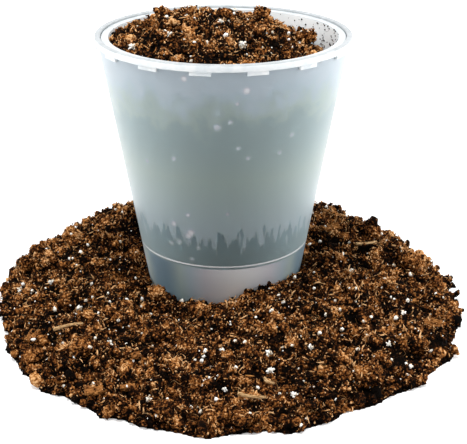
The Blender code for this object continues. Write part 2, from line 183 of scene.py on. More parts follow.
# Bits strewn over heap and fill: kind, count on the heap, seed, sizes in mm, lift off the ground in
# sizes, least share of thickness, tones, whether they lie flat
STREWN = [
    ("lumps", 150, 10, (2.2, 4.6), (-0.3, 0.3), 0.6, (-0.1, 0.7), False),
    ("crumbs", 4400, 11, (0.7, 1.7), (-0.1, 0.7), 0.5, (-0.3, 0.9), False),
    ("grit", 17000, 12, (0.4, 0.85), (0.0, 1.4), 0.5, (-0.3, 1.5), False),
    ("shreds", 3600, 13, (0.9, 2.6), (0.1, 0.8), 0.5, (-0.1, 1.6), True),
    ("root_hairs", 2000, 14, (1.2, 3.4), (0.0, 0.5), 0.9, (-0.3, 0.7), True),
    ("bark_bits", 260, 15, (1.0, 2.4), (0.2, 0.7), 0.9, (0.0, 1.0), True),
    ("perlite_bits", 820, 16, (0.4, 1.7), (0.4, 0.9), 0.5, (0.3, 1.0), False)]
EDGE_LUMPS = (420, 20, (1.2, 4.6), (0.1, 1.0), 0.6, (-0.1, 0.8), False)
FILL_SHARE = 0.24
FILL_SEED_STEP = 50

# Specks on the bare inner wall
SPECK_COUNT = 240
SPECK_SEED = 8
SPECK_TONE = 0.1
SPECK_ANGLE = math.radians(100)
SPECK_SPREAD = math.radians(24)
SPECK_DEPTH = 17.0 * MM
SPECK_SIZES = (0.2 * MM, 0.65 * MM)

# Studio: light from all round, and the floor's glow near the object and far from it
AMBIENT = 0.25
FLOOR_HALF = 3.0
FLOOR_DROP = 0.2 * MM
GLOW_REACH = (0.25, 1.0)
NEAR_GLOW = 0.3

# Pale spots where perlite lies against the walls: angle in degrees, height and radius in mm. They fade
# out between two shares of their radius
SPOT_FADE = (0.2, 1.7)
PRESSED_GRAINS = [(angle, height * MM, radius * MM) for angle, height, radius in (
    (-17, 142, 1.3), (10, 136, 1.5), (6, 129, 1.0), (-3, 116, 1.8), (3, 119, 1.2), (35, 108, 1.2),
    (29, 99, 1.1), (7, 104, 1.1), (12, 98, 1.2), (-26, 96, 1.3), (-44, 91, 1.2), (-31, 56, 1.5),
    (-20, 52, 1.9), (-22, 50, 1.4), (-29, 45, 1.5), (-35, 43, 1.3), (-16, 43, 1.1), (-21, 35, 1.2),
    (-21, 63, 1.2), (2, 65, 1.0), (75, 70, 1.4), (96, 112, 1.3), (120, 88, 1.6), (141, 54, 1.5),
    (150, 127, 1.2), (172, 97, 1.4), (-160, 62, 1.5), (-140, 104, 1.3), (-112, 47, 1.6), (-92, 84, 1.2))]


# Small helpers

def linear(code):
    """Linear RGBA of an sRGB hex colour."""
    parts = [int(code[start:start + 2], 16) / 255.0 for start in (1, 3, 5)]
    return tuple(part / 12.92 if part <= 0.04045 else ((part + 0.055) / 1.055) ** 2.4
                 for part in parts) + (1.0,)


def add(tree, kind, values=(), stops=(), **settings):
    """Adds a node with its settings. Its inputs are given values, or other nodes' sockets to link."""
    made = tree.nodes.new(kind)
    for name, setting in settings.items():
        setattr(made, name, setting)
    for name, value in dict(values).items():
        if isinstance(value, bpy.types.NodeSocket):
            tree.links.new(value, made.inputs[name])
        else:
            made.inputs[name].default_value = value
    for number, (place, colour) in enumerate(stops):
        ramp = made.color_ramp.elements
        stop = ramp[number] if number < len(ramp) else ramp.new(place)
        stop.position = place
        stop.color = colour
    return made


def reckon(tree, operation, *values):
    """What a math node makes of its values."""
    return add(tree, "ShaderNodeMath", dict(enumerate(values)), operation=operation).outputs[0]


def remap(tree, value, span, result, smooth=False):
    """A value moved from one span to another, and held at its ends."""
    return add(tree, "ShaderNodeMapRange",
               {"Value": value, "From Min": span[0], "From Max": span[1], "To Min": result[0],
                "To Max": result[1]}, interpolation_type="SMOOTHSTEP" if smooth else "LINEAR").outputs[0]


def cloudy(tree, place, spacing, detail):
    """Noise whose patches are about a spacing apart."""
    return add(tree, "ShaderNodeTexNoise",
               {"Vector": place, "Scale": 1.0 / spacing, "Detail": detail}).outputs["Fac"]


def new_material(name):
    """A material with its node tree and its main shader."""
    material = bpy.data.materials.new(name)
    material.use_nodes = True
    return material, material.node_tree, material.node_tree.nodes["Principled BSDF"]


def dress(tree, shader, colour, height, strength, depth, roughness, specular):
    """Gives a matt finish its colour, its relief and how dull it is."""
    bump = add(tree, "ShaderNodeBump", {"Height": height, "Strength": strength, "Distance": depth})
    tree.links.new(colour.outputs["Color"], shader.inputs["Base Color"])
    tree.links.new(bump.outputs["Normal"], shader.inputs["Normal"])
    shader.inputs["Roughness"].default_value = roughness
    shader.inputs["Specular IOR Level"].default_value = specular


def to_object(name, bm, finish):
    """Turns a bmesh into an object whose place is in its mesh."""
    mesh = bpy.data.meshes.new(name)
    bm.to_mesh(mesh)
    bm.free()
    mesh.shade_smooth()
    mesh.materials.append(finish)
    piece = bpy.data.objects.new(name, mesh)
    bpy.context.scene.collection.objects.link(piece)
    return piece


def settle(piece):
    """Bakes a piece's modifiers into its mesh."""
    bpy.context.view_layer.update()
    graph = bpy.context.evaluated_depsgraph_get()
    done = bpy.data.meshes.new_from_object(piece.evaluated_get(graph))
    old = piece.data
    piece.modifiers.clear()
    piece.data = done
    bpy.data.meshes.remove(old)


def hand_over(piece, slot, *nodes):
    """Fixes a piece to the part and hides the solids that it stands for."""
    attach(piece, "root")
    if nodes:
        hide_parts(*nodes)


def outward(angle):
    return Vector((math.sin(angle), -math.cos(angle), 0.0))


def wall_radius(height):
    """Outside radius of the outer pot's wall."""
    return FOOT_RADIUS + (RIM_RADIUS - LIP_OVERHANG - FOOT_RADIUS) * height / POT_HEIGHT


def inner_neck_radius():
    return INNER_LIP_RADIUS - INNER_LIP_WIDTH


def inner_wall_radius(height):
    """Outside radius of the inner pot's wall."""
    neck = INNER_LIP_TOP - INNER_LIP_THICKNESS
    share = (height - INNER_FOOT_HEIGHT) / (neck - INNER_FOOT_HEIGHT)
    return INNER_FOOT_RADIUS + (inner_neck_radius() - INNER_FOOT_RADIUS) * share


# Finishes

def frosted_wall(name, milk, stops, zones):
    """Milky plastic wall: the milkier a place is, the less it lets through and the whiter it looks."""
    material, tree, shader = new_material(name)
    place = add(tree, "ShaderNodeTexCoord").outputs["Object"]
    parts = add(tree, "ShaderNodeSeparateXYZ", {"Vector": place}).outputs
    for zone in zones:
        milk = reckon(tree, "ADD", milk, zone(tree, place, parts))
    colour = add(tree, "ShaderNodeValToRGB", {"Fac": milk}, stops)
    slant = add(tree, "ShaderNodeLayerWeight", {"Blend": 0.5}).outputs["Facing"]
    dense = reckon(tree, "MULTIPLY_ADD", slant, SLANT_MILK, milk)
    see_through = remap(tree, dense, (0.0, 1.0), (CLEAREST, MILKIEST))
    tree.links.new(see_through, shader.inputs["Transmission Weight"])
    tree.links.new(colour.outputs["Color"], shader.inputs["Base Color"])
    shader.inputs["Roughness"].default_value = PLASTIC_ROUGHNESS
    shader.inputs["IOR"].default_value = PLASTIC_IOR
    shader.inputs["Specular IOR Level"].default_value = 0.35
    shader.inputs["Sheen Weight"].default_value = 0.15
    shader.inputs["Sheen Roughness"].default_value = 0.5
    return material


def cloud_zone(low, high, reach, spacing, strength):
    """Milkiness that comes in clouds towards a height, where the compost lies off the wall."""
    def zone(tree, place, parts):
        cloud = cloudy(tree, place, spacing, 3.0)
        drift = reckon(tree, "MULTIPLY_ADD", cloud, 2.0 * reach, parts["Z"])
        return remap(tree, drift, (low + reach, high + reach), (0.0, strength), smooth=True)
    return zone


def painted_reflection_zone(top, reach, strength):
    """Painted reflection of the heap: milkiness changed up to a ragged edge drawn out into streaks."""
    def zone(tree, place, parts):
        drawn_out = add(tree, "ShaderNodeMapping", {"Vector": place, "Scale": STREAK_SCALE})
        streaks = cloudy(tree, drawn_out.outputs[0], 1.0, 2.0)
        drift = reckon(tree, "MULTIPLY_ADD", streaks, 2.0 * reach, parts["Z"])
        edge = (top + reach - STREAK_FADE, top + reach + STREAK_FADE)
        return remap(tree, drift, edge, (strength, 0.0), smooth=True)
    return zone


def edge_zone(top, fade, strength):
    """Milkiness up to a height."""
    def zone(tree, place, parts):
        return remap(tree, parts["Z"], (top, top + fade), (strength, 0.0), smooth=True)
    return zone


def painted_light_patches(top, fade, strength):
    """Painted patches of light up to a height, spread wide round the wall."""
    def zone(tree, place, parts):
        ahead = reckon(tree, "MULTIPLY", parts["Y"], -1.0)
        angle = reckon(tree, "ARCTAN2", parts["X"], ahead)
        turned = reckon(tree, "MULTIPLY_ADD", angle, LIGHT_PATCH_COUNT, -LIGHT_PATCH_COUNT * LIGHT_PATCH_ANGLE)
        wave = reckon(tree, "COSINE", turned)
        patch = reckon(tree, "MULTIPLY_ADD", wave, strength / 2.0, strength / 2.0)
        share = remap(tree, parts["Z"], (top, top + fade), (1.0, 0.0), smooth=True)
        return reckon(tree, "MULTIPLY", patch, share)
    return zone


def spotted_zone(spots, strength):
    """Milkiness in round spots, each given by its angle in degrees, its height and its radius."""
    def zone(tree, place, parts):
        nearest = SPOT_FADE[1]
        for angle, height, radius in spots:
            middle = outward(math.radians(angle)) * wall_radius(height) + Vector((0.0, 0.0, height))
            apart = add(tree, "ShaderNodeVectorMath", {0: place, 1: middle}, operation="DISTANCE")
            apart = reckon(tree, "MULTIPLY", apart.outputs["Value"], 1.0 / radius)
            nearest = reckon(tree, "MINIMUM", nearest, apart)
        return remap(tree, nearest, SPOT_FADE, (strength, 0.0), smooth=True)
    return zone


def outer_polypropylene():
    # Natural polypropylene, moulded thin in a satin tool: milky all through, so it dims and blurs what
    # lies behind it. Clearest in a painted reflection of the heap, paler where perlite stands behind it,
    # lighter low down by painted light, white in a painted highlight at the inner pot's foot ring, with a
    # painted shadow line and painted patches of light under that ring
    ring = INNER_FOOT_HEIGHT + RING_RISE
    under = ring - RING_GLINT - SHADOW_LINE_GAP
    return frosted_wall("frosted_polypropylene", 0.155,
                        [(0.06, linear("#9dbccd")), (0.2, linear("#c9dad7")), (0.34, linear("#c8d8e1")),
                         (0.55, linear("#dddce3")), (0.85, linear("#f6f9fa"))],
                        [edge_zone(PAINTED_LIGHT_FROM, PAINTED_LIGHT_RISE, 0.19), painted_reflection_zone(HEAP_REFLECTION_TOP, HEAP_REFLECTION_REACH, -0.2),
                         edge_zone(ring, LINE_FADE, 0.75), edge_zone(ring - RING_GLINT, LINE_FADE, -0.75),
                         edge_zone(under, LIGHT_PATCH_FADE, -0.1), painted_light_patches(under, LIGHT_PATCH_FADE, 0.75),
                         cloud_zone(*TOP_CLOUDS, 22 * MM, 11 * MM, 0.22),
                         spotted_zone(PRESSED_GRAINS, 0.34)])


def liner_polypropylene():
    # The same plastic, whitest where no compost lies against it
    return frosted_wall("frosted_polypropylene_liner", 0.2,
                        [(0.2, linear("#bccbc6")), (0.45, linear("#cddae4")), (0.8, linear("#f4f7f8"))],
                        [cloud_zone(126 * MM, 140 * MM, 8 * MM, 12 * MM, 0.5),
                         cloud_zone(134 * MM, 146 * MM, 4 * MM, 9 * MM, 0.5)])


def thick_polypropylene(name, dusky, pale):
    # The same plastic where it is too thick for much to show through it
    material, tree, shader = new_material(name)
    place = add(tree, "ShaderNodeTexCoord").outputs["Object"]
    colour = add(tree, "ShaderNodeValToRGB", {"Fac": cloudy(tree, place, 6 * MM, 2.0)},
                 [(0.35, linear(dusky)), (0.65, linear(pale))])
    tree.links.new(colour.outputs["Color"], shader.inputs["Base Color"])
    shader.inputs["Roughness"].default_value = PLASTIC_ROUGHNESS
    shader.inputs["IOR"].default_value = PLASTIC_IOR
    shader.inputs["Transmission Weight"].default_value = 0.1
    return material


def matted_compost():
    # Sphagnum peat with fine bark, left moist: dark and matt, orange where its fibres dry out, and darkened
    # by painted shade in its crevices and clefts
    material, tree, shader = new_material("matted_peat_compost")
    place = add(tree, "ShaderNodeTexCoord").outputs["Object"]
    tone = add(tree, "ShaderNodeAttribute", attribute_name="tone").outputs["Fac"]
    # Painted shade: darker towards the edges of small crumb cells, as in crevices between crumbs
    crumbs = add(tree, "ShaderNodeTexVoronoi", {"Vector": place, "Scale": 1.0 / (2.0 * MM)})
    grain = cloudy(tree, place, 1.0 * MM, 2.0)
    level = reckon(tree, "MULTIPLY_ADD", grain, 1.5, tone)
    level = reckon(tree, "MULTIPLY_ADD", crumbs.outputs["Distance"], -0.6, level)
    level = reckon(tree, "MULTIPLY_ADD", cloudy(tree, place, 14 * MM, 3.0), 1.5, level)
    colour = add(tree, "ShaderNodeValToRGB", {"Fac": remap(tree, level, (1.13, 2.05), (0.0, 1.0))},
                 [(0.0, linear("#040201")), (0.28, linear("#190c05")), (0.5, linear("#5e3518")),
                  (0.75, linear("#a36a35")), (1.0, linear("#e0b07c"))])
    dress(tree, shader, colour, grain, 1.0, 0.8 * MM, roughness=0.85, specular=0.03)
    return material


def expanded_perlite():
    # Volcanic glass popped by heat: chalk white foam, pitted, with compost dust in the pits
    material, tree, shader = new_material("expanded_perlite")
    place = add(tree, "ShaderNodeTexCoord").outputs["Object"]
    pits = add(tree, "ShaderNodeTexVoronoi", {"Vector": place, "Scale": 1.0 / (0.8 * MM)})
    colour = add(tree, "ShaderNodeValToRGB", {"Fac": cloudy(tree, place, 1.6 * MM, 3.0)},
                 [(0.38, linear("#9c8261")), (0.46, linear("#efe9da")), (0.58, linear("#fbfaf6"))])
    dress(tree, shader, colour, pits.outputs["Distance"], 0.5, 0.3 * MM, roughness=0.8, specular=0.5)
    return material


def split_wood(name, dark, middle, light, grain_width):
    """Fibrous wood whose grain runs along each piece's own length."""
    material, tree, shader = new_material(name)
    along = add(tree, "ShaderNodeAttribute", attribute_name="grain").outputs["Vector"]
    tone = add(tree, "ShaderNodeAttribute", attribute_name="tone").outputs["Fac"]
    stretch = (1.0 / (8.0 * grain_width), 1.0 / grain_width, 1.0 / grain_width)
    streaks = add(tree, "ShaderNodeMapping", {"Vector": along, "Scale": stretch})
    fibre = cloudy(tree, streaks.outputs[0], 1.0, 4.0)
    colour = add(tree, "ShaderNodeValToRGB", {"Fac": reckon(tree, "MULTIPLY_ADD", tone, 0.4, fibre)},
                 [(0.4, linear(dark)), (0.62, linear(middle)), (0.9, linear(light))])
    dress(tree, shader, colour, fibre, 0.6, 0.4 * MM, roughness=0.7, specular=0.15)
    return material


# Turned plastic pieces

def spin_section(points):
    """Turns a section, given as radius and height, once round the pot's axis."""
    bm = bmesh.new()
    verts = [bm.verts.new((0.0, -radius, height)) for radius, height in points]
    edges = [bm.edges.new(pair) for pair in zip(verts, verts[1:])]
    bmesh.ops.spin(bm, geom=verts + edges, cent=(0, 0, 0), axis=(0, 0, 1), angle=math.tau,
                   steps=POT_SEGMENTS, use_merge=True)
    bmesh.ops.remove_doubles(bm, verts=bm.verts, dist=SAME_POINT)
    bmesh.ops.recalc_face_normals(bm, faces=bm.faces)
    return bm


def arc(centre, radius, start, end, steps):
    """Points of an arc in a section, with its angles in degrees."""
    turns = [math.radians(start + (end - start) * step / steps) for step in range(steps + 1)]
    return [(centre[0] + radius * math.cos(turn), centre[1] + radius * math.sin(turn)) for turn in turns]


def add_block(bm, low, high, turn):
    """Adds a box that is then turned about the pot's axis."""
    size = [far - near for near, far in zip(low, high)]
    middle = [(far + near) / 2.0 for near, far in zip(low, high)]
    place = Matrix.Rotation(turn, 4, "Z") @ Matrix.Translation(middle) @ Matrix.Diagonal((*size, 1.0))
    bmesh.ops.create_cube(bm, size=1.0, matrix=place)


def combine(piece, tool_bm, operation):
    """Joins a tool shape to a piece, or cuts it away."""
    tool = to_object("tool", tool_bm, piece.data.materials[0])
    change = piece.modifiers.new("shape", "BOOLEAN")
    change.operation = operation
    change.solver = "EXACT"
    change.object = tool
    settle(piece)
    bpy.data.objects.remove(tool)


def refinish(piece, finish, picked):
    """Gives the faces that a rule picks another finish."""
    piece.data.materials.append(finish)
    for face in piece.data.polygons:
        if picked(face.center, face.normal):
            face.material_index = len(piece.data.materials) - 1


def make_outer_pot(finish, lip, rim):
    """Tapered pot with a banded lip, the ledge inside it and small tabs under the band."""
    band = POT_HEIGHT - LIP_HEIGHT
    lip_inside = RIM_RADIUS - LIP_WIDTH
    ledge_top = INNER_LIP_TOP - INNER_LIP_THICKNESS - CLEAR
    ledge_reach = inner_neck_radius() + CLEAR
    brace = ledge_top - LEDGE_THICKNESS - LEDGE_BRACE
    section = [(0.0, 0.0)]
    section += arc((FOOT_RADIUS - FOOT_ROUND, FOOT_ROUND), FOOT_ROUND, -90, 0, 6)
    section += [(wall_radius(band), band), (RIM_RADIUS - LIP_ROUND / 2, band)]
    section += arc((RIM_RADIUS - LIP_ROUND / 2, band + LIP_ROUND / 2), LIP_ROUND / 2, -60, 0, 2)
    section += arc((RIM_RADIUS - LIP_ROUND, POT_HEIGHT - LIP_ROUND), LIP_ROUND, 0, 90, 4)
    section += arc((lip_inside + LIP_ROUND, POT_HEIGHT - LIP_ROUND), LIP_ROUND, 90, 180, 4)
    section += [(lip_inside, ledge_top), (ledge_reach, ledge_top)]
    section += [(ledge_reach, ledge_top - LEDGE_THICKNESS), (wall_radius(brace) - WALL, brace)]
    section += [(wall_radius(BASE_THICKNESS) - WALL, BASE_THICKNESS), (0.0, BASE_THICKNESS)]
    pot = to_object("outer_pot_shell", spin_section(section), finish)
    root = wall_radius(band) - WALL / 2.0
    tabs = bmesh.new()
    for number in range(TAB_COUNT):
        turn = TAB_FIRST_ANGLE + math.tau * number / TAB_COUNT
        low = (-TAB_WIDTH / 2.0, -RIM_RADIUS + LIP_ROUND, band - TAB_DROP)
        high = (TAB_WIDTH / 2.0, -root, band + LIP_HEIGHT / 3.0)
        add_block(tabs, low, high, turn)
    upright = [edge for edge in tabs.edges if abs((edge.verts[0].co - edge.verts[1].co).z) > TAB_DROP]
    bmesh.ops.bevel(tabs, geom=upright, offset=TAB_ROUND, segments=3, profile=0.5, affect="EDGES",
                    material=-1)
    combine(pot, tabs, "UNION")
    refinish(pot, lip, lambda place, normal: place.z > band - TAB_DROP - CLEAR
             and math.hypot(place.x, place.y) > wall_radius(place.z) + CLEAR / 2)
    # Painted shade: the rim's top and inner face take a darker copy of the lip's plastic
    refinish(pot, rim, lambda place, normal: place.z > ledge_top + CLEAR and
             (normal.z > 0.5 or math.hypot(place.x, place.y) < RIM_RADIUS - LIP_WIDTH / 2.0))
    pot.data.shade_smooth()
    pot.data.set_sharp_from_angle(angle=SHARP_ANGLE)
    hand_over(pot, "outer_pot_plastic", "outer_pot")


def make_inner_pot(finish, rim):
    """Shorter pot with a flat top ring, a rounded foot ring, floor slots and foot notches."""
    foot = INNER_FOOT_HEIGHT
    under = foot + FOOT_RING_HEIGHT
    floor = under + INNER_FLOOR
    ring = INNER_FOOT_RADIUS - WALL
    neck = INNER_LIP_TOP - INNER_LIP_THICKNESS
    section = [(0.0, under), (ring, under)]
    section += arc((ring + FOOT_RING_ROUND, foot + FOOT_RING_ROUND), FOOT_RING_ROUND, 180, 270, 4)
    section += arc((INNER_FOOT_RADIUS - FOOT_RING_ROUND, foot + FOOT_RING_ROUND), FOOT_RING_ROUND,
                   270, 360, 4)
    section += [(inner_neck_radius(), neck), (INNER_LIP_RADIUS, neck)]
    section += arc((INNER_LIP_RADIUS - LIP_ROUND, INNER_LIP_TOP - LIP_ROUND), LIP_ROUND, 0, 90, 4)
    section += arc((inner_neck_radius() - WALL + LIP_ROUND, INNER_LIP_TOP - LIP_ROUND), LIP_ROUND,
                   90, 180, 4)
    section += [(inner_wall_radius(floor) - WALL, floor), (0.0, floor)]
    pot = to_object("inner_pot_shell", spin_section(section), finish)
    drains = bmesh.new()
    for number in range(SLOT_COUNT):
        turn = math.tau * (number + 0.5) / SLOT_COUNT
        low = (-SLOT_WIDTH / 2.0, -SLOT_START - SLOT_LENGTH, under - INNER_FLOOR)
        high = (SLOT_WIDTH / 2.0, -SLOT_START, under + 2.0 * INNER_FLOOR)
        add_block(drains, low, high, turn)
    for number in range(NOTCH_COUNT):
        turn = math.tau * number / NOTCH_COUNT
        low = (-NOTCH_WIDTH / 2.0, -INNER_FOOT_RADIUS - WALL, under - 2.0 * FOOT_RING_HEIGHT)
        high = (NOTCH_WIDTH / 2.0, -INNER_FOOT_RADIUS + 2.0 * WALL, under - FOOT_RING_HEIGHT / 4.0)
        add_block(drains, low, high, turn)
    combine(pot, drains, "DIFFERENCE")
    refinish(pot, rim, lambda place, normal: place.z > neck + CLEAR / 2)
    pot.data.shade_smooth()
    pot.data.set_sharp_from_angle(angle=SHARP_ANGLE)
    hand_over(pot, "inner_pot_plastic", "inner_pot")


# Compost bodies and loose pieces, worked up from their solids

def solid_copy(node, name, finish):
    """A copy of a solid with its loose triangles merged."""
    bm = bmesh.new()
    bm.from_mesh(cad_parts[node].data)
    bmesh.ops.remove_doubles(bm, verts=bm.verts, dist=SAME_POINT)
    return to_object(name, bm, finish)


def refine(piece, voxel):
    """Rebuilds a piece from small even faces."""
    change = piece.modifiers.new("even_faces", "REMESH")
    change.mode = "VOXEL"
    change.voxel_size = voxel
    settle(piece)
    piece.data.shade_smooth()


def read_points(mesh):
    points = np.empty(len(mesh.vertices) * 3, np.float32)
    mesh.vertices.foreach_get("co", points)
    return points.reshape(-1, 3)


def set_tone(mesh, tones):
    """Stores a shade for each point, from 0, dark, to 1, pale."""
    layer = mesh.attributes.new("tone", "FLOAT", "POINT")
    layer.data.foreach_set("value", np.asarray(tones, np.float32))


def crumble(place, size):
    """Rounded crumbs with sharp crevices between them, from -1.3 in a crevice to 0.7 on a crumb."""
    near, far = noise.voronoi(place / size)[0][:2]
    return 2.0 * min(far - near, CRUMB_EDGE) / CRUMB_EDGE - CREVICE_DEPTH


def move_points(mesh, moved_place):
    """Moves each point of a mesh to where a function of its place and its normal puts it."""
    points = read_points(mesh)
    normals = np.empty(points.size, np.float32)
    mesh.vertex_normals.foreach_get("vector", normals)
    for number, normal in enumerate(normals.reshape(-1, 3)):
        points[number] = moved_place(Vector(points[number].tolist()), Vector(normal.tolist()))
    mesh.vertices.foreach_set("co", points.ravel())
    mesh.update()


def layered(layers, place):
    """Sum of layers of crumbs at a place."""
    return sum(height * crumble(place, size) for height, size in layers)


def cleft(place):
    """How high a place lies, from -1.3 in a cleft between clods to 0.7 on top of a clod."""
    return crumble(place, CLOD_SPACING)


def roughen(piece, layers, limit):
    """Moves each point along its normal by layers of crumbs, and then back inside a limit."""
    move_points(piece.data, lambda place, normal: limit(place, place + normal * layered(layers, place)))
    points = read_points(piece.data).tolist()
    # Painted shade: tone darker in the clefts between clods and paler on their tops
    set_tone(piece.data, [0.25 + 0.25 * cleft(Vector(point)) for point in points])


def outside_pot(old, moved):
    """Keeps a point of the heap off the pot's wall and on or above the floor."""
    if old.z < CLEAR:
        return old
    moved.z = max(moved.z, 0.0)
    near = wall_radius(moved.z) + CLEAR
    flat = math.hypot(moved.x, moved.y)
    if flat < near:
        moved.x *= near / flat
        moved.y *= near / flat
    return moved


def inside_pot(old, moved):
    """Keeps a point of the fill inside the inner pot."""
    far = inner_wall_radius(min(moved.z, INNER_LIP_TOP)) - WALL - CLEAR
    flat = math.hypot(moved.x, moved.y)
    if flat > far:
        moved.x *= far / flat
        moved.y *= far / flat
    if old.z < INNER_FOOT_HEIGHT + 4 * MM:
        moved.z = old.z
    return moved


# Scattered bits

def random_turn(draw):
    return Euler([draw.uniform(0.0, math.tau) for _ in range(3)]).to_matrix().to_4x4()


def crumb_shape(draw, low, high):
    """Lump of unit radius with twenty faces, knocked out of true."""
    bm = bmesh.new()
    bmesh.ops.create_icosphere(bm, subdivisions=1, radius=1.0)
    for vert in bm.verts:
        vert.co = vert.co.normalized() * draw.uniform(low, high)
    return bm


def nugget_shape(draw):
    """Larger rounded lump of unit radius, with a knobbly skin."""
    bm = bmesh.new()
    bmesh.ops.create_icosphere(bm, subdivisions=2, radius=1.0)
    start = Vector([draw.uniform(0.0, 50.0) for _ in range(3)])
    height, size = NUGGET_KNOBS
    for vert in bm.verts:
        place = vert.co + start
        vert.co *= 1.0 + height * crumble(place, size) + NUGGET_WARP * noise.noise(place)
    return bm


def grit_shape(draw, low, high):
    """Grain of unit radius with eight faces."""
    bm = bmesh.new()
    bmesh.ops.create_uvsphere(bm, u_segments=4, v_segments=2, radius=1.0)
    for vert in bm.verts:
        vert.co = vert.co.normalized() * draw.uniform(low, high)
    return bm


def shred_shape(draw, width, thickness):
    """Flat torn strip of unit half length."""
    bm = bmesh.new()
    bmesh.ops.create_cube(bm, size=2.0, matrix=Matrix.Diagonal((1.0, width, thickness, 1.0)))
    along = [edge for edge in bm.edges if abs(edge.verts[0].co.x - edge.verts[1].co.x) > 1.0]
    bmesh.ops.subdivide_edges(bm, edges=along, cuts=2, use_grid_fill=True)
    bend = draw.uniform(-SHRED_BEND, SHRED_BEND)
    for vert in bm.verts:
        end = 1.0 - SHRED_TAPER * abs(vert.co.x) ** 3
        tear = draw.uniform(-SHRED_TEAR, SHRED_TEAR) * width
        vert.co.y = vert.co.y * end + tear + bend * vert.co.x ** 2
        warp = draw.uniform(-SHRED_WARP, SHRED_WARP) * thickness
        vert.co.z = vert.co.z * end + warp + bend * SHRED_RISE * vert.co.x ** 2
        vert.co.x += draw.uniform(-SHRED_SHIFT, SHRED_SHIFT)
    return bm


def fibre_shape(draw, radius):
    """Curled root hair of unit half length."""
    bm = bmesh.new()
    lying = Matrix.Rotation(math.pi / 2.0, 4, "Y")
    bmesh.ops.create_cone(bm, cap_ends=True, segments=3, radius1=radius, radius2=radius, depth=2.0,
                          matrix=lying)
    along = [edge for edge in bm.edges if edge.calc_length() > 1.0]
    bmesh.ops.subdivide_edges(bm, edges=along, cuts=4, use_grid_fill=True)
    arch = draw.uniform(*HAIR_ARCH)
    wave = draw.uniform(*HAIR_WAVE)
    turn = draw.uniform(0.0, math.tau)
    for vert in bm.verts:
        share = vert.co.x
        vert.co.z += arch * (1.0 - share * share)
        vert.co.y += wave * math.sin(HAIR_WAVE_RATE * share + turn)
    return bm


def shape_set(make, count, seed, *sizes):
    """Several variants of a shape, as meshes."""
    draw = random.Random(seed)
    shapes = []
    for _ in range(count):
        bm = make(draw, *sizes)
        bmesh.ops.recalc_face_normals(bm, faces=bm.faces)
        mesh = bpy.data.meshes.new("shape")
        bm.to_mesh(mesh)
        bm.free()
        shapes.append(mesh)
    return shapes


def stamp(name, shapes, poses, tones, finish):
    """Joins a posed copy of a shape for each pose into one piece, each copy with its own tone."""
    whole = bmesh.new()
    for start in range(0, len(poses), STAMP_BATCH):
        batch = bmesh.new()
        for number, pose in enumerate(poses[start:start + STAMP_BATCH], start):
            copy = shapes[number % len(shapes)].copy()
            copy.transform(pose)
            batch.from_mesh(copy, face_normals=False, vertex_normals=False)
            bpy.data.meshes.remove(copy)
        joined = bpy.data.meshes.new("batch")
        batch.to_mesh(joined)
        batch.free()
        whole.from_mesh(joined, face_normals=False, vertex_normals=False)
        bpy.data.meshes.remove(joined)
    piece = to_object(name, whole, finish)
    points = len(shapes[0].vertices)
    set_tone(piece.data, np.repeat(tones, points))
    return piece


class Ground:
    """The upper surface of some compost pieces, where loose bits can lie."""

    def __init__(self, pieces, keep):
        corners = []
        for piece in pieces:
            mesh = piece.data
            mesh.calc_loop_triangles()
            tris = np.empty(len(mesh.loop_triangles) * 3, np.int32)
            mesh.loop_triangles.foreach_get("vertices", tris)
            corners.append(read_points(mesh)[tris.reshape(-1, 3)])
        corners = np.concatenate(corners).astype(float)
        cross = np.cross(corners[:, 1] - corners[:, 0], corners[:, 2] - corners[:, 0])
        size = np.linalg.norm(cross, axis=1)
        sound = size > 0.0
        corners = corners[sound]
        self.normals = cross[sound] / size[sound, None]
        self.corners = corners
        kept = keep(corners.mean(axis=1), self.normals)
        weight = size[sound] * kept
        self.share = weight / weight.sum()

    def seats(self, count, seed):
        """Random places on the surface, with the surface's direction at each."""
        draw = np.random.default_rng(seed)
        chosen = draw.choice(len(self.share), count, p=self.share)
        first, second = draw.random((2, count, 1))
        over = first + second > 1.0
        first = np.where(over, 1.0 - first, first)
        second = np.where(over, 1.0 - second, second)
        corner = self.corners[chosen]
        along = first * (corner[:, 1] - corner[:, 0])
        across = second * (corner[:, 2] - corner[:, 0])
        return corner[:, 0] + along + across, self.normals[chosen]


def heap_top(middles, normals):
    """Faces of the heap that bits can lie on."""
    flat = np.hypot(middles[:, 0], middles[:, 1])
    off_pot = flat > wall_radius(middles[:, 2]) + HEAP_WALL_GAP
    return (normals[:, 2] > HEAP_SLOPE) & (middles[:, 2] > HEAP_LOW) & off_pot


def heap_edge(middles, normals):
    """Faces low on the heap's outer edge, where lumps have rolled down."""
    flat = np.hypot(middles[:, 0], middles[:, 1])
    low = (middles[:, 2] > EDGE_BAND[0]) & (middles[:, 2] < EDGE_BAND[1])
    return low & (flat > RIM_RADIUS) & (normals[:, 2] > HEAP_SLOPE)


def fill_top(middles, normals):
    """Faces of the fill that bits can lie on."""
    return (normals[:, 2] > FILL_SLOPE) & (middles[:, 2] > INNER_LIP_TOP - FILL_DEPTH)


def off_wall(place, reach, in_heap):
    """Moves a bit's middle so that it stays clear of the pot and the floor."""
    flat = math.hypot(place.x, place.y)
    if in_heap:
        near = wall_radius(place.z) + reach * HEAP_WALL_SHARE
        scale = max(1.0, near / flat)
        place.z = max(place.z, reach * FLOOR_SHARE)
    else:
        far = inner_wall_radius(min(place.z, INNER_LIP_TOP)) - WALL - reach * FILL_WALL_SHARE
        scale = min(1.0, far / flat)
    return Vector((place.x * scale, place.y * scale, place.z))


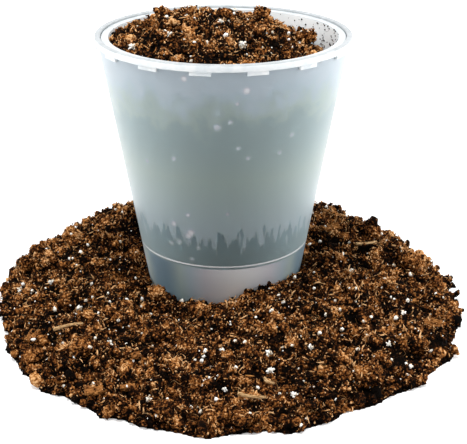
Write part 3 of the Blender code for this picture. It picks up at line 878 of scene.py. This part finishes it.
def scatter(name, ground, in_heap, shapes, finish, count, seed, sizes, lift, flatness, tone_range,
            lie_flat):
    """Strews bits over a compost surface, some pressed in and some proud of it."""
    points, normals = ground.seats(count, seed)
    draw = random.Random(seed)
    poses = []
    tones = []
    low, high = (size * MM for size in sizes)
    dark, pale = tone_range
    for point, normal in zip(points, normals):
        height = cleft(Vector(point))
        if height < CLEFT and draw.random() < CLEFT_SKIPPED:
            continue
        size = low * (high / low) ** (draw.random() ** SMALL_BIAS)
        up = Vector(normal)
        place = off_wall(Vector(point) + up * size * draw.uniform(*lift), size, in_heap)
        if lie_flat:
            tilt = Euler((draw.uniform(-LEAN, LEAN), draw.uniform(-LEAN, LEAN), draw.uniform(0.0, math.tau)))
            turn = up.to_track_quat("Z", "Y").to_matrix().to_4x4() @ tilt.to_matrix().to_4x4()
        else:
            turn = random_turn(draw)
        width = size * draw.uniform(flatness, 1.0)
        thickness = size * draw.uniform(flatness, 1.0)
        shape = Matrix.Diagonal((size, width, thickness, 1.0))
        poses.append(Matrix.Translation(place) @ turn @ shape)
        patch = 0.5 + 0.5 * noise.noise(place / TONE_PATCH)
        share = PATCH_WEIGHT * patch + CHANCE_WEIGHT * draw.random()
        # Painted shade: bits lying in clefts are made darker
        tones.append(dark + (pale - dark) * share + CLEFT_SHADE_WEIGHT * height)
    return stamp(name, shapes, poses, tones, finish)


# Loose pieces that stand for solids

def worked_solid(node, finish, slot, voxel, layers, tone):
    """A loose piece worked up from its solid, with places along its own axes stored for wood grain."""
    piece = solid_copy(node, node + "_surface", finish)
    refine(piece, voxel)
    points = read_points(piece.data).astype(float)
    middle = points.mean(axis=0)
    _, _, axes = np.linalg.svd(points - middle, full_matrices=False)
    local = (points - middle) @ axes.T
    move_points(piece.data, lambda place, normal: place + normal * layered(layers, place))
    layer = piece.data.attributes.new("grain", "FLOAT_VECTOR", "POINT")
    layer.data.foreach_set("vector", local.astype(np.float32).ravel())
    set_tone(piece.data, np.full(len(points), tone))
    hand_over(piece, slot, node)
    return piece


# Studio

def soft_light(name, place, aim, width, height, watts):
    lamp = bpy.data.lights.new(name, "AREA")
    lamp.shape = "RECTANGLE"
    lamp.size = width
    lamp.size_y = height
    lamp.energy = watts
    shown = bpy.data.objects.new(name, lamp)
    shown.location = place
    shown.rotation_euler = (Vector(aim) - Vector(place)).to_track_quat("-Z", "Y").to_euler()
    bpy.context.scene.collection.objects.link(shown)


def seen_directly(tree):
    """1 for rays from the camera, or on their way through or off a shiny surface."""
    path = add(tree, "ShaderNodeLightPath").outputs
    seen = reckon(tree, "MAXIMUM", path["Is Camera Ray"], path["Is Glossy Ray"])
    return reckon(tree, "MAXIMUM", seen, path["Is Transmission Ray"])


def make_studio():
    world = bpy.data.worlds.new("studio")
    bpy.context.scene.world = world
    world.use_nodes = True
    tree = world.node_tree
    strength = remap(tree, seen_directly(tree), (0.0, 1.0), (AMBIENT, 1.0))
    tree.nodes["Background"].inputs["Color"].default_value = (1.0, 1.0, 1.0, 1.0)
    tree.links.new(strength, tree.nodes["Background"].inputs["Strength"])

    floor_finish, tree, shader = new_material("pale_studio_floor")
    shader.inputs["Base Color"].default_value = linear("#eeeeee")
    shader.inputs["Roughness"].default_value = 0.9
    shader.inputs["Specular IOR Level"].default_value = 0.0
    place = add(tree, "ShaderNodeTexCoord").outputs["Object"]
    far = add(tree, "ShaderNodeVectorMath", {0: place}, operation="LENGTH").outputs["Value"]
    glow = reckon(tree, "MULTIPLY", seen_directly(tree), remap(tree, far, GLOW_REACH, (NEAR_GLOW, 1.0)))
    shader.inputs["Emission Color"].default_value = (1.0, 1.0, 1.0, 1.0)
    tree.links.new(glow, shader.inputs["Emission Strength"])
    bm = bmesh.new()
    bmesh.ops.create_grid(bm, x_segments=1, y_segments=1, size=FLOOR_HALF,
                          matrix=Matrix.Translation((0.0, 0.0, -FLOOR_DROP)))
    to_object("studio_floor", bm, floor_finish)

    soft_light("light_above", (-0.1, -0.3, 1.2), (0.0, 0.0, 0.05), 0.5, 0.5, 14.0)
    soft_light("light_front", (0.0, -1.2, 0.3), (0.0, 0.0, 0.04), 1.0, 0.3, 1.0)
    soft_light("light_left", (-0.9, 0.0, 0.5), (0.0, 0.0, 0.08), 0.6, 0.8, 6.0)
    soft_light("light_right", (0.9, 0.0, 0.5), (0.0, 0.0, 0.08), 0.6, 0.8, 8.5)


def make_camera():
    data = bpy.data.cameras.new("camera")
    data.sensor_width = SENSOR_WIDTH
    data.lens = LENS_IN_PIXELS / PHOTO_WIDTH * SENSOR_WIDTH
    camera = bpy.data.objects.new("camera", data)
    camera.location = CAMERA_PLACE
    camera.rotation_euler = (math.pi / 2.0 - CAMERA_DOWN, 0.0, -math.atan(AIM_ASIDE / LENS_IN_PIXELS))
    bpy.context.scene.collection.objects.link(camera)
    bpy.context.scene.camera = camera


# Compost and all that lies in it

def nodes_named(prefix):
    return sorted(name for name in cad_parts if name.startswith(prefix))


def make_wall_specks(shapes, compost):
    """Specks of compost left on the bare inner wall over the fill's low side."""
    draw = random.Random(SPECK_SEED)
    poses = []
    for _ in range(SPECK_COUNT):
        angle = draw.gauss(SPECK_ANGLE, SPECK_SPREAD)
        height = INNER_LIP_TOP - SPECK_DEPTH * (1.0 - draw.random() ** 1.5)
        radius = draw.uniform(*SPECK_SIZES)
        place = outward(angle) * (inner_wall_radius(height) - WALL - 0.3 * radius)
        place.z = height
        poses.append(Matrix.Translation(place) @ random_turn(draw) @ Matrix.Scale(radius, 4))
    hand_over(stamp("wall_specks", shapes, poses, [SPECK_TONE] * len(poses), compost), "compost")


def make_compost():
    compost = matted_compost()
    perlite = expanded_perlite()
    # Pine bark, chipped: warm orange-brown plates split along the grain
    bark = split_wood("chipped_pine_bark", "#2c170a", "#7a4a1e", "#b98145", 0.5 * MM)
    # Dry root and stem: pale tan skin with fine lengthwise streaks
    root = split_wood("dry_root", "#3a2412", "#805a30", "#cfae80", 0.35 * MM)

    heap = solid_copy("compost_heap", "compost_heap_surface", compost)
    refine(heap, HEAP_VOXEL)
    roughen(heap, SURFACE_LAYERS, outside_pot)
    hand_over(heap, "compost", "compost_heap")
    fill = solid_copy("compost_fill", "compost_fill_surface", compost)
    refine(fill, FILL_VOXEL)
    roughen(fill, SURFACE_LAYERS, inside_pot)
    hand_over(fill, "compost", "compost_fill")

    clods = []
    chips = []
    for node in nodes_named("peat_clod"):
        layers = [(0.6 * MM, 4.0 * MM), (0.35 * MM, 1.8 * MM)]
        clods.append(worked_solid(node, compost, "peat", 0.6 * MM, layers, 0.35))
    for node in nodes_named("perlite_grain"):
        layers = [(0.75 * MM, 1.7 * MM), (0.3 * MM, 0.7 * MM)]
        worked_solid(node, perlite, "perlite", 0.3 * MM, layers, 0.5)
    for node in nodes_named("bark_chip"):
        layers = [(0.45 * MM, 3.0 * MM), (0.2 * MM, 1.2 * MM)]
        chips.append(worked_solid(node, bark, "bark", 0.4 * MM, layers, 0.4))
    for node in nodes_named("twig"):
        worked_solid(node, root, "twig", 0.3 * MM, [(0.08 * MM, 1.0 * MM)], 0.6)

    loose = clods + chips
    on_heap = [piece for piece in loose if piece.data.vertices[0].co.z < POT_HEIGHT / 2.0]
    on_fill = [piece for piece in loose if piece not in on_heap]
    heap_ground = Ground([heap] + on_heap, heap_top)
    fill_ground = Ground([fill] + on_fill, fill_top)

    lumps = shape_set(crumb_shape, 12, 1, 0.7, 1.2)
    grit = shape_set(grit_shape, 12, 2, 0.7, 1.25)
    nuggets = shape_set(nugget_shape, 12, 5)
    shreds = shape_set(shred_shape, 10, 3, 0.2, 0.12)
    fibres = shape_set(fibre_shape, 10, 4, 0.04)
    make_wall_specks(grit, compost)
    edge_lumps = scatter("heap_edge_lumps", Ground([heap], heap_edge), True, nuggets, compost, *EDGE_LUMPS)
    hand_over(edge_lumps, "compost")
    looks = {"lumps": (nuggets, compost, "compost"), "crumbs": (lumps, compost, "compost"),
             "grit": (grit, compost, "compost"), "shreds": (shreds, compost, "compost"),
             "root_hairs": (fibres, root, "twig"), "bark_bits": (shreds, bark, "bark"),
             "perlite_bits": (lumps, perlite, "perlite")}
    for place, ground, share, seed_step in (("heap", heap_ground, 1.0, 0),
                                            ("fill", fill_ground, FILL_SHARE, FILL_SEED_STEP)):
        for kind, count, seed, *choices in STREWN:
            shapes, finish, slot = looks[kind]
            piece = scatter(f"{place}_{kind}", ground, place == "heap", shapes, finish, int(count * share),
                            seed + seed_step, *choices)
            hand_over(piece, slot)
    for shape in lumps + grit + nuggets + shreds + fibres:
        bpy.data.meshes.remove(shape)


# The whole scene

bpy.context.scene.view_settings.view_transform = "Standard"
make_camera()
make_studio()
lip_plastic = thick_polypropylene("thick_polypropylene_lip", "#e6edf1", "#f7fafb")
# Painted shade: a darker copy of the lip's plastic for the rim's top, where the light from above falls
shaded_rim_plastic = thick_polypropylene("thick_polypropylene_rim_painted_shade", "#acb2b5", "#bec3c6")
ring_plastic = thick_polypropylene("thick_polypropylene_ring", "#ccd2d5", "#dce1e3")
make_outer_pot(outer_polypropylene(), lip_plastic, shaded_rim_plastic)
make_inner_pot(liner_polypropylene(), ring_plastic)
make_compost()
